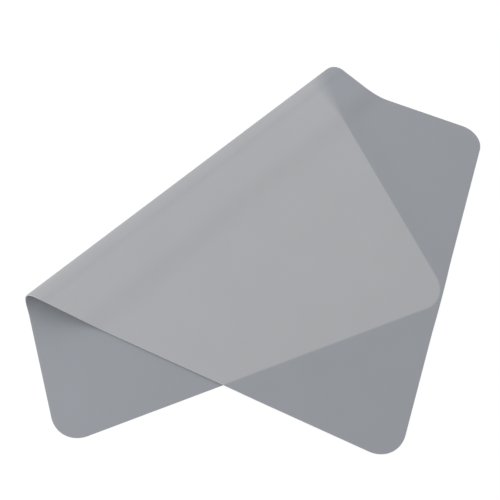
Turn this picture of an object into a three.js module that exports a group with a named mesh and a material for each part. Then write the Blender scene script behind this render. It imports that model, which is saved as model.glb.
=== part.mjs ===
// Silicone pastry mat, one thin flexible sheet, laid folded over on a table.
// The flat mat has its width along X and its length along Y. It is folded across at a slant, so that
// the far end lies turned over on the near end, and the fold stays open as a soft loop.
// The sheet is divided into zones: two flat leaves and the narrow strips that bend between them.
// Millimetres, +Z up. The origin is on the table under the middle of the folded mat.

import * as THREE from "three";

// The flat mat
const MAT_WIDTH = 300;
const MAT_LENGTH = 400;
const THICKNESS = 1.0;
const CORNER_RADIUS = 20;

// Where the fold starts on the left and the right edge, from the near edge of the mat
const FOLD_AT_LEFT = 94;
const FOLD_AT_RIGHT = 221;

// The fold's section, measured on the middle of the sheet: a loop that turns a little past a half
// turn, a straight ramp down, and a wide curve that lands the upper leaf on the lower one
const LOOP_RADIUS = 9.5;
const RAMP_SLOPE = THREE.MathUtils.degToRad(28);
const LANDING_RADIUS = 50;
const LEAF_GAP = 0.3;

// The strips that the bends are divided into, and the clearance between neighbours
const LOOP_STRIPS = 14;
const LANDING_STRIPS = 3;
const STRIP_CLEARANCE = 0.65;
const FACET_ANGLE = THREE.MathUtils.degToRad(5);
const CORNER_FACETS = 16;

// The silicone
const SILICONE_COLOUR = 0x96989c;
const SILICONE_ROUGHNESS = 0.6;

// Directions on the flat mat: along the fold, and across it from the lower to the upper leaf
const alongFold = new THREE.Vector2(MAT_WIDTH, FOLD_AT_RIGHT - FOLD_AT_LEFT).normalize();
const acrossFold = new THREE.Vector2(-alongFold.y, alongFold.x);

// Lengths and turns of the section
const loopTurn = Math.PI + RAMP_SLOPE;
const loopLength = LOOP_RADIUS * loopTurn;
const landingLength = LANDING_RADIUS * RAMP_SLOPE;
const leafRise = THICKNESS + LEAF_GAP;
const curvedDrop = (LOOP_RADIUS + LANDING_RADIUS) * (1 - Math.cos(RAMP_SLOPE));
const rampLength = (2 * LOOP_RADIUS - leafRise - curvedDrop) / Math.sin(RAMP_SLOPE);
const rampEnd = loopLength + rampLength;
const foldLength = rampEnd + landingLength;

// A slit stays open on its outer side when its strips are straightened
const stripTurn = loopTurn / LOOP_STRIPS;
const slit = STRIP_CLEARANCE + (THICKNESS / 2) * stripTurn;

// Place and tilt of the sheet's middle, a distance past the start of the fold
function sectionAt(distance) {
  const middle = THICKNESS / 2;
  if (distance < loopLength) {
    const tilt = distance / LOOP_RADIUS;
    return {
      across: LOOP_RADIUS * Math.sin(tilt),
      height: middle + LOOP_RADIUS * (1 - Math.cos(tilt)),
      tilt,
    };
  }
  const onRamp = Math.min(distance, rampEnd) - loopLength;
  const across = LOOP_RADIUS * Math.sin(loopTurn) + onRamp * Math.cos(loopTurn);
  const height = middle + LOOP_RADIUS * (1 - Math.cos(loopTurn)) + onRamp * Math.sin(loopTurn);
  const turnBack = Math.max(distance - rampEnd, 0) / LANDING_RADIUS;
  const tilt = loopTurn - turnBack;
  return {
    across: across - LANDING_RADIUS * (Math.sin(tilt) - Math.sin(loopTurn)),
    height: height + LANDING_RADIUS * (Math.cos(tilt) - Math.cos(loopTurn)),
    tilt,
  };
}

// A point of the bent sheet: x is its place across the flat mat, distance is how far it lies past the
// start of the fold, and offset is its height over the middle of the sheet
function bentPoint(x, distance, offset) {
  const { across, height, tilt } = sectionAt(distance);
  const along = (x - distance * acrossFold.x) / alongFold.x;
  const out = across - offset * Math.sin(tilt);
  return new THREE.Vector3(
    along * alongFold.x + out * acrossFold.x,
    FOLD_AT_LEFT + along * alongFold.y + out * acrossFold.y,
    height + offset * Math.cos(tilt),
  );
}

// Where a line parallel to the fold, a distance past its start, meets the left or the right edge
function foldLineOnEdge(edge, distance) {
  return edge + distance / acrossFold.y;
}

function silicone() {
  return new THREE.MeshStandardMaterial({
    color: SILICONE_COLOUR,
    roughness: SILICONE_ROUGHNESS,
    metalness: 0,
  });
}

function zone(name, geometry) {
  const mesh = new THREE.Mesh(geometry, silicone());
  mesh.name = name;
  return mesh;
}

// A flat leaf, as it lies in the unfolded mat
function flatLeaf(outline) {
  return new THREE.ExtrudeGeometry(outline, {
    depth: THICKNESS,
    bevelEnabled: false,
    curveSegments: CORNER_FACETS,
  });
}

function lowerLeaf() {
  const outline = new THREE.Shape();
  outline.moveTo(0, foldLineOnEdge(FOLD_AT_LEFT, -slit / 2));
  outline.lineTo(0, CORNER_RADIUS);
  outline.absarc(CORNER_RADIUS, CORNER_RADIUS, CORNER_RADIUS, Math.PI, 1.5 * Math.PI);
  outline.lineTo(MAT_WIDTH - CORNER_RADIUS, 0);
  outline.absarc(MAT_WIDTH - CORNER_RADIUS, CORNER_RADIUS, CORNER_RADIUS, -0.5 * Math.PI, 0);
  outline.lineTo(MAT_WIDTH, foldLineOnEdge(FOLD_AT_RIGHT, -slit / 2));
  outline.closePath();
  return flatLeaf(outline);
}

// The upper leaf is turned over by a half turn about a line that is parallel to the fold
function upperLeaf() {
  const start = foldLength + slit / 2;
  const far = MAT_LENGTH - CORNER_RADIUS;
  const outline = new THREE.Shape();
  outline.moveTo(MAT_WIDTH, foldLineOnEdge(FOLD_AT_RIGHT, start));
  outline.lineTo(MAT_WIDTH, far);
  outline.absarc(MAT_WIDTH - CORNER_RADIUS, far, CORNER_RADIUS, 0, 0.5 * Math.PI);
  outline.lineTo(CORNER_RADIUS, MAT_LENGTH);
  outline.absarc(CORNER_RADIUS, far, CORNER_RADIUS, 0.5 * Math.PI, Math.PI);
  outline.lineTo(0, foldLineOnEdge(FOLD_AT_LEFT, start));
  outline.closePath();

  const turnAt = (sectionAt(foldLength).across + foldLength) / 2;
  const pivot = new THREE.Vector3(
    turnAt * acrossFold.x,
    FOLD_AT_LEFT + turnAt * acrossFold.y,
    THICKNESS + LEAF_GAP / 2,
  );
  const axis = new THREE.Vector3(alongFold.x, alongFold.y, 0);
  const leaf = flatLeaf(outline);
  leaf.translate(-pivot.x, -pivot.y, -pivot.z);
  leaf.applyMatrix4(new THREE.Matrix4().makeRotationAxis(axis, Math.PI));
  leaf.translate(pivot.x, pivot.y, pivot.z);
  return leaf;
}

// A strip of the sheet between two lines parallel to the fold, bent to the section
function bentStrip(start, end, turn) {
  const facets = Math.max(1, Math.ceil(turn / FACET_ANGLE));
  const strip = new THREE.BoxGeometry(1, 1, 1, 1, facets, 1);
  const corners = strip.getAttribute("position");
  for (let i = 0; i < corners.count; i += 1) {
    const x = (corners.getX(i) + 0.5) * MAT_WIDTH;
    const distance = THREE.MathUtils.lerp(start, end, corners.getY(i) + 0.5);
    const point = bentPoint(x, distance, corners.getZ(i) * THICKNESS);
    corners.setXYZ(i, point.x, point.y, point.z);
  }
  strip.computeVertexNormals();
  return strip;
}

// Equal strips over one stretch of the section, with a slit between neighbours
function stripRow(name, count, from, length, turn) {
  const strips = [];
  for (let i = 0; i < count; i += 1) {
    const start = from + (length * i) / count + slit / 2;
    const end = from + (length * (i + 1)) / count - slit / 2;
    const label = count > 1 ? `${name}_${String(i + 1).padStart(2, "0")}` : name;
    strips.push(zone(label, bentStrip(start, end, turn / count)));
  }
  return strips;
}

const sheet = new THREE.Group();
sheet.add(zone("lower_leaf", lowerLeaf()));
sheet.add(...stripRow("loop_strip", LOOP_STRIPS, 0, loopLength, loopTurn));
sheet.add(...stripRow("ramp_strip", 1, loopLength, rampLength, 0));
sheet.add(...stripRow("landing_strip", LANDING_STRIPS, rampEnd, landingLength, RAMP_SLOPE));
sheet.add(zone("upper_leaf", upperLeaf()));

// The origin comes under the middle of the folded mat
const room = new THREE.Box3().setFromObject(sheet);
const middle = room.getCenter(new THREE.Vector3());
sheet.position.set(-middle.x, -middle.y, -room.min.z);

const mat = new THREE.Group();
mat.add(sheet);

export default mat;
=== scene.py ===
"""Grey silicone pastry mat, lying folded over at a slant on a pale floor.

The mat is one thin sheet with rounded corners and a rounded rim. It is made flat, cut along the lines
where the frame's zones meet, and then folded with the same section as the solids.
"""

import math

import bmesh
import bpy
from mathutils import Matrix, Vector


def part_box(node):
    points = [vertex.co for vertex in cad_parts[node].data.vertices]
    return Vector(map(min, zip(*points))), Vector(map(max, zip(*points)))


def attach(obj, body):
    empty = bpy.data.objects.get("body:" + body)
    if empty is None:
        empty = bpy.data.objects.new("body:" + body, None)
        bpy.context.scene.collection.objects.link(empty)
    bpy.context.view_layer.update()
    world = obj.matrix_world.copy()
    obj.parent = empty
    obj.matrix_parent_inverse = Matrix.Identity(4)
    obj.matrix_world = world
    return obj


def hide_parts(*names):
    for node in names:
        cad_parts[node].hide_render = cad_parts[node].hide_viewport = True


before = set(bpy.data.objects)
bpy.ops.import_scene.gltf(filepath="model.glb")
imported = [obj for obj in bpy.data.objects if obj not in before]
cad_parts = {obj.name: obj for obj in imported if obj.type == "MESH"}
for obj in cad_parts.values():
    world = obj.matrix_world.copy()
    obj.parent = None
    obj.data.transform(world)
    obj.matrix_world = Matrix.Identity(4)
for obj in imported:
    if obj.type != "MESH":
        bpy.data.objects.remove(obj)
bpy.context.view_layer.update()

MM = 0.001

# The flat mat
MAT_WIDTH = 300 * MM
MAT_LENGTH = 400 * MM
THICKNESS = 1.0 * MM
CORNER_RADIUS = 20 * MM
CORNER_SEGMENTS = 18
RIM_RADIUS = 0.42 * MM
RIM_SEGMENTS = 3

# Where the fold starts on the left and the right edge, and the fold's section
FOLD_AT_LEFT = 94 * MM
FOLD_AT_RIGHT = 221 * MM
LOOP_RADIUS = 9.5 * MM
RAMP_SLOPE = math.radians(28)
LANDING_RADIUS = 50 * MM
LEAF_GAP = 0.3 * MM
LOOP_STRIPS = 14
LANDING_STRIPS = 3

# How finely the sheet is cut, and how the upper leaf sinks to the floor past the lower leaf's edge
CUTS_IN_LOOP_STRIP = 4
CUTS_IN_WIDE_STRIP = 6
UPPER_LEAF_CUT = 4 * MM
LOWER_LEAF_CUT = 12 * MM
LENGTHWISE_CUT = 4 * MM
SAME_POINT = 1e-7
DRAPE_LENGTH = 22 * MM
FLOOR_CLEARANCE = 0.1 * MM

# A thin tongue on each zone reaches into the zone before it, so that the sheet stays closed as it bends
TONGUE_LENGTH = 1.8 * MM
TONGUE_INSET = 0.3 * MM

# Colours, as linear values
ONE_LAYER = (0.290, 0.305, 0.332, 1)
# The two-layer colour is painted light: the upper leaf is painted lighter where the lower leaf lies under
# it, in place of light passing through the silicone
TWO_LAYERS_PAINTED_LIGHT = (0.384, 0.393, 0.409, 1)
FLOOR_COLOUR = (0.9, 0.9, 0.9, 1)
WHITE = (1, 1, 1, 1)

# The silicone's faint cloudiness and fine grain, and its gloss
CLOUD_SCALE = 26
CLOUD_DETAIL = 3
GRAIN_SCALE = 900
GRAIN_DETAIL = 2
TONE_LEAST = 0.955
TONE_BY_CLOUD = 0.06
TONE_BY_GRAIN = 0.03
GRAIN_STRENGTH = 0.12
GRAIN_DEPTH = 0.2 * MM
ROUGHNESS_LEAST = 0.52
ROUGHNESS_BY_CLOUD = 0.12
GLOSS = 0.4

# Painted light: how much lighter the lifted part of the upper leaf is painted, and the heights between
# which that sets in.
# Across the crest the painted light fades to a share of that, between two places measured from the start
# of the fold
LIFT_START = 2.3 * MM
LIFT_END = 9 * MM
CREST_START = -10 * MM
CREST_END = 1.5 * MM
CREST_SHARE = 0.2
LIFTED_PAINTED_LIGHT_GAIN = 0.135

# Where the painted light of the lower leaf seen through the upper one goes. Where the upper leaf is
# lifted, that painted light lies farther to the right and to the back, by these shares of the height,
# along one fixed line of sight, and its outline is softer
SEEN_RIGHT = 0.65
SEEN_BACK = 0.86
SOFTER_BY_HEIGHT = 0.6
SOFTNESS_LAID = 0.7 * MM

# The upward part of a point's normal at which the point starts to count as on the upper side, and how
# much more makes it count in full
UPWARD_START = 0.05
UPWARD_SPAN = 0.45

# Point attributes: the side of the sheet that lies uppermost when folded over, and three that only serve
# the modelling: the smooth normal, the distance past the start of the fold and the height over the middle
UPPER_SIDE = "upper_side"
SMOOTH_NORMAL = "smooth_normal"
DISTANCE = "distance"
OFFSET = "offset"

# Face attribute: the number of the zone that a face belongs to
ZONE = "zone"

# Sockets of a colour mix, which have numbers because their names are shared
MIX_SHARE = 0
MIX_START = 6
MIX_END = 7
MIX_RESULT = 2

# The studio light: an even white sky, a soft lamp above the far side, and a low lamp at the left end
# of the fold
SKY_STRENGTH = 0.8
KEY_PLACE = (0.15, 0.4, 0.5)
KEY_AIM = (0, 0.1, 0)
KEY_SIZE = 0.5
KEY_POWER = 0.68
FILL_PLACE = (-0.75, -0.06, 0.14)
FILL_AIM = (-0.2, 0.02, 0)
FILL_SIZE = 0.3
FILL_POWER = 2.2

# The floor, just under the mat, and how much of what the camera sees of it is plain white
FLOOR_HALF_WIDTH = 4
FLOOR_DEPTH = 0.2 * MM
FLOOR_GLOW = 1.05
FLOOR_GLOW_SHARE = 0.85

# The photograph's viewpoint, measured from the flat mat's near left corner
CAMERA_PLACE = Vector((84.9, -53.7, 354.1)) * MM
CAMERA_PITCH = math.radians(64.69)
CAMERA_HEADING = math.radians(24.35)
CAMERA_ROLL = math.radians(4.3)
CAMERA_NEAR = 10 * MM
FOCAL_PIXELS = 495.5
PHOTO_PIXELS = 500
SENSOR_WIDTH = 36
SHIFT_RIGHT = 0.051
SHIFT_UP = -0.003

# Directions on the flat mat and the lengths of the section
fold_run = Vector((MAT_WIDTH, FOLD_AT_RIGHT - FOLD_AT_LEFT, 0))
along_fold = fold_run.normalized()
across_fold = Vector((-along_fold.y, along_fold.x, 0))
fold_start = Vector((0, FOLD_AT_LEFT, 0))
sheet_corner = Vector(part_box("lower_leaf")[0])

loop_turn = math.pi + RAMP_SLOPE
strip_turn = loop_turn / LOOP_STRIPS
loop_length = LOOP_RADIUS * loop_turn
landing_length = LANDING_RADIUS * RAMP_SLOPE
leaf_rise = THICKNESS + LEAF_GAP
curved_drop = (LOOP_RADIUS + LANDING_RADIUS) * (1 - math.cos(RAMP_SLOPE))
ramp_length = (2 * LOOP_RADIUS - leaf_rise - curved_drop) / math.sin(RAMP_SLOPE)
ramp_end = loop_length + ramp_length
fold_length = ramp_end + landing_length


def smoothstep(value):
    """A smooth rise from 0 to 1 while the value goes from 0 to 1."""
    share = min(max(value, 0), 1)
    return share * share * (3 - 2 * share)


def section_at(distance):
    """Place across the fold, height and tilt of the sheet's middle, a distance past the fold's start."""
    if distance <= 0:
        return distance, THICKNESS / 2, 0
    if distance < loop_length:
        tilt = distance / LOOP_RADIUS
        return LOOP_RADIUS * math.sin(tilt), THICKNESS / 2 + LOOP_RADIUS * (1 - math.cos(tilt)), tilt
    on_ramp = min(distance, ramp_end) - loop_length
    tilt = loop_turn - min(max(distance - ramp_end, 0), landing_length) / LANDING_RADIUS
    across = LOOP_RADIUS * math.sin(loop_turn) + on_ramp * math.cos(loop_turn)
    across -= LANDING_RADIUS * (math.sin(tilt) - math.sin(loop_turn))
    across -= max(distance - fold_length, 0)
    height = THICKNESS / 2 + LOOP_RADIUS * (1 - math.cos(loop_turn)) + on_ramp * math.sin(loop_turn)
    height += LANDING_RADIUS * (math.cos(tilt) - math.cos(loop_turn))
    return across, height, tilt


def past_fold(point):
    """How far a point of the flat mat lies past the start of the fold."""
    return (point - fold_start).dot(across_fold)


def beyond_lower_leaf(x, y):
    """How far a place lies outside the lower leaf's rounded outline, or less than 0 inside it."""
    side = abs(x - MAT_WIDTH / 2) - (MAT_WIDTH / 2 - CORNER_RADIUS)
    near = CORNER_RADIUS - y
    return math.hypot(max(side, 0), max(near, 0)) + min(max(side, near), 0) - CORNER_RADIUS


def folded(point):
    """Where a point of the flat mat comes when the mat is folded."""
    distance = past_fold(point)
    along = (point - fold_start).dot(along_fold)
    across, height, tilt = section_at(distance)
    offset = point.z - THICKNESS / 2
    place = fold_start + along_fold * along + across_fold * (across - offset * math.sin(tilt))
    place.z = height + offset * math.cos(tilt)
    landed = smoothstep((distance - ramp_end) / landing_length)
    sunk = smoothstep(beyond_lower_leaf(place.x, place.y) / DRAPE_LENGTH)
    place.z -= (leaf_rise - FLOOR_CLEARANCE) * landed * sunk
    return place + sheet_corner


def zones():
    """The zones in their order along the sheet, and the distances where they meet."""
    loop = [f"loop_strip_{i + 1:02d}" for i in range(LOOP_STRIPS)]
    landing = [f"landing_strip_{i + 1:02d}" for i in range(LANDING_STRIPS)]
    names = ["lower_leaf", *loop, "ramp_strip", *landing, "upper_leaf"]
    seams = [loop_length * i / LOOP_STRIPS for i in range(LOOP_STRIPS + 1)]
    seams += [ramp_end + landing_length * i / LANDING_STRIPS for i in range(LANDING_STRIPS + 1)]
    return names, seams


def cut_places(seams):
    """Distances at which the sheet is cut across: close in the bends, wider in the leaves."""
    farthest = past_fold(Vector((0, MAT_LENGTH, 0)))
    nearest = past_fold(Vector((MAT_WIDTH, 0, 0)))
    places = list(seams)
    for strip, (start, end) in enumerate(zip(seams, seams[1:])):
        count = CUTS_IN_LOOP_STRIP if strip < LOOP_STRIPS else CUTS_IN_WIDE_STRIP
        places += [start + (end - start) * i / count for i in range(1, count)]
    in_upper_leaf = int((farthest - fold_length) / UPPER_LEAF_CUT)
    places += [fold_length + UPPER_LEAF_CUT * i for i in range(1, in_upper_leaf)]
    in_lower_leaf = int(-nearest / LOWER_LEAF_CUT)
    places += [-LOWER_LEAF_CUT * i for i in range(1, in_lower_leaf)]
    return places


def cut(sheet, place, direction):
    """Cuts the faces along a plane, without parting them."""
    bmesh.ops.bisect_plane(
        sheet,
        geom=sheet.verts[:] + sheet.edges[:] + sheet.faces[:],
        dist=SAME_POINT,
        plane_co=place,
        plane_no=direction,
    )


def flat_mat():
    """The whole mat, flat, with its rounded corners and rim."""
    sheet = bmesh.new()
    bmesh.ops.create_grid(sheet, x_segments=1, y_segments=1, size=0.5)
    bmesh.ops.translate(sheet, vec=(0.5, 0.5, 0), verts=sheet.verts)
    bmesh.ops.scale(sheet, vec=(MAT_WIDTH, MAT_LENGTH, 1), verts=sheet.verts)
    bmesh.ops.bevel(
        sheet,
        geom=sheet.verts[:],
        offset=CORNER_RADIUS,
        segments=CORNER_SEGMENTS,
        profile=0.5,
        affect="VERTICES",
        material=-1,
    )
    raised = bmesh.ops.extrude_face_region(sheet, geom=sheet.faces[:])
    top = [item for item in raised["geom"] if isinstance(item, bmesh.types.BMVert)]
    bmesh.ops.translate(sheet, vec=(0, 0, THICKNESS), verts=top)
    bmesh.ops.recalc_face_normals(sheet, faces=sheet.faces[:])
    rim = [edge for edge in sheet.edges if abs(edge.verts[0].co.z - edge.verts[1].co.z) < RIM_RADIUS]
    bmesh.ops.bevel(
        sheet,
        geom=rim,
        offset=RIM_RADIUS,
        segments=RIM_SEGMENTS,
        profile=0.5,
        affect="EDGES",
        material=-1,
    )
    return sheet


def weighted_normal(vert):
    """A normal in which wide faces count more, so that the flats stay flat up to the rim."""
    total = Vector((0, 0, 0))
    for face in vert.link_faces:
        total += face.normal * face.calc_area()
    return total.normalized()


def cut_mat(seams):
    """The whole mat, still flat, cut across and lengthwise to bend. Each face knows its zone."""
    sheet = flat_mat()
    for distance in cut_places(seams):
        cut(sheet, fold_start + across_fold * distance, across_fold)
    reach = (Vector((MAT_WIDTH, MAT_LENGTH, 0)) - fold_start).dot(along_fold)
    for i in range(1, int(reach / LENGTHWISE_CUT)):
        cut(sheet, fold_start + along_fold * (LENGTHWISE_CUT * i), along_fold)
    zone = sheet.faces.layers.int.new(ZONE)
    for face in sheet.faces:
        middle = past_fold(face.calc_center_median())
        face[zone] = sum(middle > seam for seam in seams)
    return sheet


def folded_mat(seams):
    """The whole mat, cut and folded. Each point knows its smooth normal and its place in the flat mat."""
    sheet = cut_mat(seams)
    smooth = sheet.verts.layers.float_vector.new(SMOOTH_NORMAL)
    upper_side = sheet.verts.layers.float.new(UPPER_SIDE)
    distance = sheet.verts.layers.float.new(DISTANCE)
    offset = sheet.verts.layers.float.new(OFFSET)
    for vert in sheet.verts:
        vert[distance] = past_fold(vert.co)
        vert[offset] = vert.co.z - THICKNESS / 2
        vert[upper_side] = float(vert[distance] > loop_length / 2)
        vert.co = folded(vert.co)
    sheet.normal_update()
    for vert in sheet.verts:
        vert[smooth] = weighted_normal(vert)
        vert[upper_side] *= smoothstep((vert[smooth].z - UPWARD_START) / UPWARD_SPAN)
    return sheet


def widen_upper_edge(piece, cap):
    """Lets a cut's upper edge reach over its neighbour, so that the flat mat shows no slit."""
    offset = piece.verts.layers.float[OFFSET]
    for vert in cap.verts:
        vert.co += cap.normal * (max(vert[offset], 0) * strip_turn / 2)


def add_tongue(piece, cap):
    """A thin tongue from the cut at a zone's start."""
    outward = cap.normal.copy()
    bmesh.ops.inset_region(piece, faces=[cap], thickness=TONGUE_INSET, use_even_offset=True)
    tip = bmesh.ops.extrude_discrete_faces(piece, faces=[cap])["faces"][0]
    bmesh.ops.translate(piece, vec=outward * TONGUE_LENGTH, verts=tip.verts)


def zone_piece(sheet, index, name):
    """One zone of the folded mat as a closed piece of its own."""
    piece = sheet.copy()
    zone = piece.faces.layers.int[ZONE]
    others = [face for face in piece.faces if face[zone] != index]
    bmesh.ops.delete(piece, geom=others, context="FACES")
    open_edges = [edge for edge in piece.edges if edge.is_boundary]
    caps = bmesh.ops.holes_fill(piece, edges=open_edges, sides=0)["faces"]
    bmesh.ops.recalc_face_normals(piece, faces=piece.faces[:])
    for cap in caps:
        widen_upper_edge(piece, cap)
    if index > 0:
        distance = piece.verts.layers.float[DISTANCE]
        add_tongue(piece, min(caps, key=lambda cap: cap.verts[0][distance]))
    for face in piece.faces:
        face.smooth = True
    return sheet_object(piece, name)


def sheet_object(piece, name):
    """An object from a zone's mesh, shaded with the whole sheet's normals, so that no cut shows."""
    mesh = bpy.data.meshes.new(name)
    piece.to_mesh(mesh)
    piece.free()
    normals = [tuple(item.vector) for item in mesh.attributes[SMOOTH_NORMAL].data]
    mesh.normals_split_custom_set_from_vertices(normals)
    for helper in (SMOOTH_NORMAL, DISTANCE, OFFSET):
        mesh.attributes.remove(mesh.attributes[helper])
    obj = bpy.data.objects.new(name, mesh)
    bpy.context.scene.collection.objects.link(obj)
    return obj


class Value:
    """A shader socket that takes part in sums: each sum adds a Math node."""

    def __init__(self, tree, socket):
        self.tree = tree
        self.socket = socket

    def math(self, operation, *others):
        """The result of a Math node on this value and any others."""
        node = self.tree.nodes.new("ShaderNodeMath")
        node.operation = operation
        for slot, item in zip(node.inputs, (self, *others)):
            if isinstance(item, Value):
                self.tree.links.new(item.socket, slot)
            else:
                slot.default_value = item
        return Value(self.tree, node.outputs[0])

    def __add__(self, other):
        return self.math("ADD", other)

    __radd__ = __add__

    def __mul__(self, other):
        return self.math("MULTIPLY", other)

    __rmul__ = __mul__

    def __sub__(self, other):
        return self.math("SUBTRACT", other)

    def __rsub__(self, other):
        return self * -1 + other

    def at_least(self, other):
        return self.math("MAXIMUM", other)

    def at_most(self, other):
        return self.math("MINIMUM", other)

    def size(self):
        return self.math("ABSOLUTE")

    def root(self):
        return self.math("SQRT")


class Finish:
    """A material under construction."""

    def __init__(self, name):
        self.material = bpy.data.materials.new(name)
        self.material.use_nodes = True
        self.tree = self.material.node_tree
        self.tree.nodes.clear()

    def node(self, kind, settings=None, inputs=None):
        """A node of a kind, with its settings made first and then its sockets set or linked."""
        made = self.tree.nodes.new(kind)
        for key, value in (settings or {}).items():
            setattr(made, key, value)
        for key, value in (inputs or {}).items():
            if isinstance(value, Value):
                self.tree.links.new(value.socket, made.inputs[key])
            else:
                made.inputs[key].default_value = value
        return made

    def value(self, kind, output, settings=None, inputs=None):
        """One output of a new node."""
        return Value(self.tree, self.node(kind, settings, inputs).outputs[output])

    def ramp(self, source, low, high, start=0.0, end=1.0):
        """A smooth change from start to end while the source goes from low to high."""
        settings = {"interpolation_type": "SMOOTHSTEP"}
        limits = {"Value": source, "From Min": low, "From Max": high, "To Min": start, "To Max": end}
        return self.value("ShaderNodeMapRange", "Result", settings, limits)

    def noise(self, place, scale, detail):
        """Soft noise, finer as the scale grows."""
        inputs = {"Vector": place, "Scale": scale, "Detail": detail}
        return self.value("ShaderNodeTexNoise", "Fac", None, inputs)

    def parts(self, vector):
        """The x, y and z of a vector."""
        split = self.node("ShaderNodeSeparateXYZ", None, {"Vector": vector})
        return [Value(self.tree, output) for output in split.outputs]

    def mixed(self, share, start, end):
        """One colour passing into another."""
        inputs = {MIX_SHARE: share, MIX_START: start, MIX_END: end}
        return self.value("ShaderNodeMix", MIX_RESULT, {"data_type": "RGBA"}, inputs)

    def surface(self, shader):
        """The finished material, with this shader on its surface."""
        end = self.node("ShaderNodeOutputMaterial")
        self.tree.links.new(shader.outputs[0], end.inputs["Surface"])
        return self.material


def painted_show_through_and_lift(finish, place):
    """Masks for painted light: where the lower leaf is painted as showing through the upper one, and
    where the upper one is painted lighter for being lifted off it.

    The painted outline of the lower leaf is crisp where the leaves touch. Near the fold, where the upper
    leaf stands higher, it goes soft and is painted farther off, along one fixed line of sight.
    """
    x, y, z = finish.parts(place)
    across = x * across_fold.x + y * across_fold.y - (sheet_corner + fold_start).dot(across_fold)
    height = (z - THICKNESS - leaf_rise).at_least(0)
    x = x + height * SEEN_RIGHT
    y = y + height * SEEN_BACK
    upper_side = finish.value("ShaderNodeAttribute", "Fac", {"attribute_name": UPPER_SIDE})
    middle = sheet_corner.x + MAT_WIDTH / 2
    side = (x - middle).size() - (MAT_WIDTH / 2 - CORNER_RADIUS)
    near = (sheet_corner.y + CORNER_RADIUS) - y
    corner = side.at_least(0) * side.at_least(0) + near.at_least(0) * near.at_least(0)
    outside = corner.root() + side.at_least(near).at_most(0) - CORNER_RADIUS
    softness = height * SOFTER_BY_HEIGHT + SOFTNESS_LAID
    inside = finish.ramp(outside, softness * -1, softness, 1.0, 0.0)
    # Painted light on the lifted upper leaf, fading across the crest
    painted_lift_light = finish.ramp(z, LIFT_START, LIFT_END)
    before_crest = finish.ramp(across, CREST_START, CREST_END, 1.0, CREST_SHARE)
    return inside * upper_side, painted_lift_light * before_crest * upper_side


def silicone():
    """Matte grey silicone with a fine grain and faint cloudiness, and painted light in place of
    translucency: lighter where two layers lie together and where the upper leaf is lifted.
    """
    finish = Finish("silicone")
    place = finish.value("ShaderNodeTexCoord", "Object")
    cloud = finish.noise(place, CLOUD_SCALE, CLOUD_DETAIL)
    grain = finish.noise(place, GRAIN_SCALE, GRAIN_DETAIL)
    layers, painted_lift_light = painted_show_through_and_lift(finish, place)
    # Cloud and grain are the silicone's own tone; the lifted part of the upper leaf is painted lighter,
    # which is painted light
    tone_and_painted_light = TONE_LEAST + cloud * TONE_BY_CLOUD + grain * TONE_BY_GRAIN + painted_lift_light * LIFTED_PAINTED_LIGHT_GAIN
    # Painted light: the upper leaf is painted lighter where the lower leaf lies under it
    base = finish.mixed(layers, ONE_LAYER, TWO_LAYERS_PAINTED_LIGHT)
    shade = finish.value("ShaderNodeHueSaturation", "Color", None, {"Value": tone_and_painted_light, "Color": base})
    relief = {"Strength": GRAIN_STRENGTH, "Distance": GRAIN_DEPTH, "Height": grain}
    shader = finish.node(
        "ShaderNodeBsdfPrincipled",
        None,
        {
            "Base Color": shade,
            "Roughness": ROUGHNESS_LEAST + cloud * ROUGHNESS_BY_CLOUD,
            "Specular IOR Level": GLOSS,
            "Normal": finish.value("ShaderNodeBump", "Normal", None, relief),
        },
    )
    return finish.surface(shader)


def floor_material():
    """A white floor that keeps a faint shadow and is plain white to the camera and in reflections."""
    finish = Finish("pale_floor")
    rays = finish.node("ShaderNodeLightPath")
    names = ("Is Camera Ray", "Is Glossy Ray", "Is Transmission Ray")
    camera, glossy, transmission = [Value(finish.tree, rays.outputs[name]) for name in names]
    shown = camera.at_least(glossy).at_least(transmission)
    plain = finish.node("ShaderNodeBsdfDiffuse", None, {"Color": FLOOR_COLOUR})
    glow = finish.node("ShaderNodeEmission", None, {"Color": WHITE, "Strength": FLOOR_GLOW})
    both = finish.node("ShaderNodeMixShader", None, {"Fac": shown * FLOOR_GLOW_SHARE})
    finish.tree.links.new(plain.outputs[0], both.inputs[1])
    finish.tree.links.new(glow.outputs[0], both.inputs[2])
    return finish.surface(both)


def add_floor():
    """The flat floor that the mat lies on."""
    slab = bmesh.new()
    bmesh.ops.create_grid(slab, x_segments=1, y_segments=1, size=FLOOR_HALF_WIDTH)
    bmesh.ops.translate(slab, vec=(0, 0, -FLOOR_DEPTH), verts=slab.verts)
    mesh = bpy.data.meshes.new("floor")
    slab.to_mesh(mesh)
    slab.free()
    floor = bpy.data.objects.new("floor", mesh)
    mesh.materials.append(floor_material())
    bpy.context.scene.collection.objects.link(floor)


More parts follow.
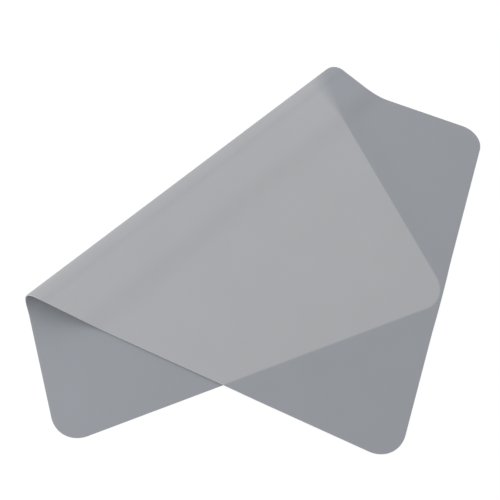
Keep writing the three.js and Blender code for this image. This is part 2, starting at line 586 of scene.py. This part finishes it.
def add_softbox(name, place, aim, size, power):
    """A square lamp that faces a point."""
    lamp = bpy.data.lights.new(name, "AREA")
    lamp.size = size
    lamp.energy = power
    obj = bpy.data.objects.new(name, lamp)
    obj.location = place
    obj.rotation_euler = (Vector(place) - Vector(aim)).to_track_quat("Z", "Y").to_euler()
    bpy.context.scene.collection.objects.link(obj)


def add_light():
    """The sky and the two lamps."""
    world = bpy.data.worlds.new("studio")
    world.use_nodes = True
    sky = world.node_tree.nodes["Background"]
    sky.inputs["Color"].default_value = WHITE
    sky.inputs["Strength"].default_value = SKY_STRENGTH
    bpy.context.scene.world = world
    add_softbox("key_softbox", KEY_PLACE, KEY_AIM, KEY_SIZE, KEY_POWER)
    add_softbox("fill_softbox", FILL_PLACE, FILL_AIM, FILL_SIZE, FILL_POWER)


def add_camera():
    """The camera, at the photograph's viewpoint."""
    camera = bpy.data.cameras.new("camera")
    camera.sensor_width = SENSOR_WIDTH
    camera.lens = SENSOR_WIDTH * FOCAL_PIXELS / PHOTO_PIXELS
    camera.shift_x = SHIFT_RIGHT
    camera.shift_y = SHIFT_UP
    camera.clip_start = CAMERA_NEAR
    obj = bpy.data.objects.new("camera", camera)
    heading = Matrix.Rotation(-CAMERA_HEADING, 4, "Z")
    pitch = Matrix.Rotation(math.pi / 2 - CAMERA_PITCH, 4, "X")
    roll = Matrix.Rotation(CAMERA_ROLL, 4, "Z")
    obj.matrix_world = Matrix.Translation(sheet_corner + CAMERA_PLACE) @ heading @ pitch @ roll
    bpy.context.scene.collection.objects.link(obj)
    bpy.context.scene.camera = obj


def add_mat():
    """The mat's pieces by zone. Each stands for the zone's solid and moves with it."""
    names, seams = zones()
    sheet = folded_mat(seams)
    finish = silicone()
    pieces = {}
    for index, name in enumerate(names):
        piece = zone_piece(sheet, index, f"{name}_sheet")
        piece.data.materials.append(finish)
        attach(piece, name)
        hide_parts(name)
        pieces[name] = piece
    sheet.free()
    return pieces


mat = add_mat()
lower_length = (FOLD_AT_LEFT + FOLD_AT_RIGHT) / 2
upper_length = MAT_LENGTH - lower_length - fold_length / across_fold.y
add_floor()
add_light()
add_camera()
bpy.context.scene.view_settings.view_transform = "Standard"
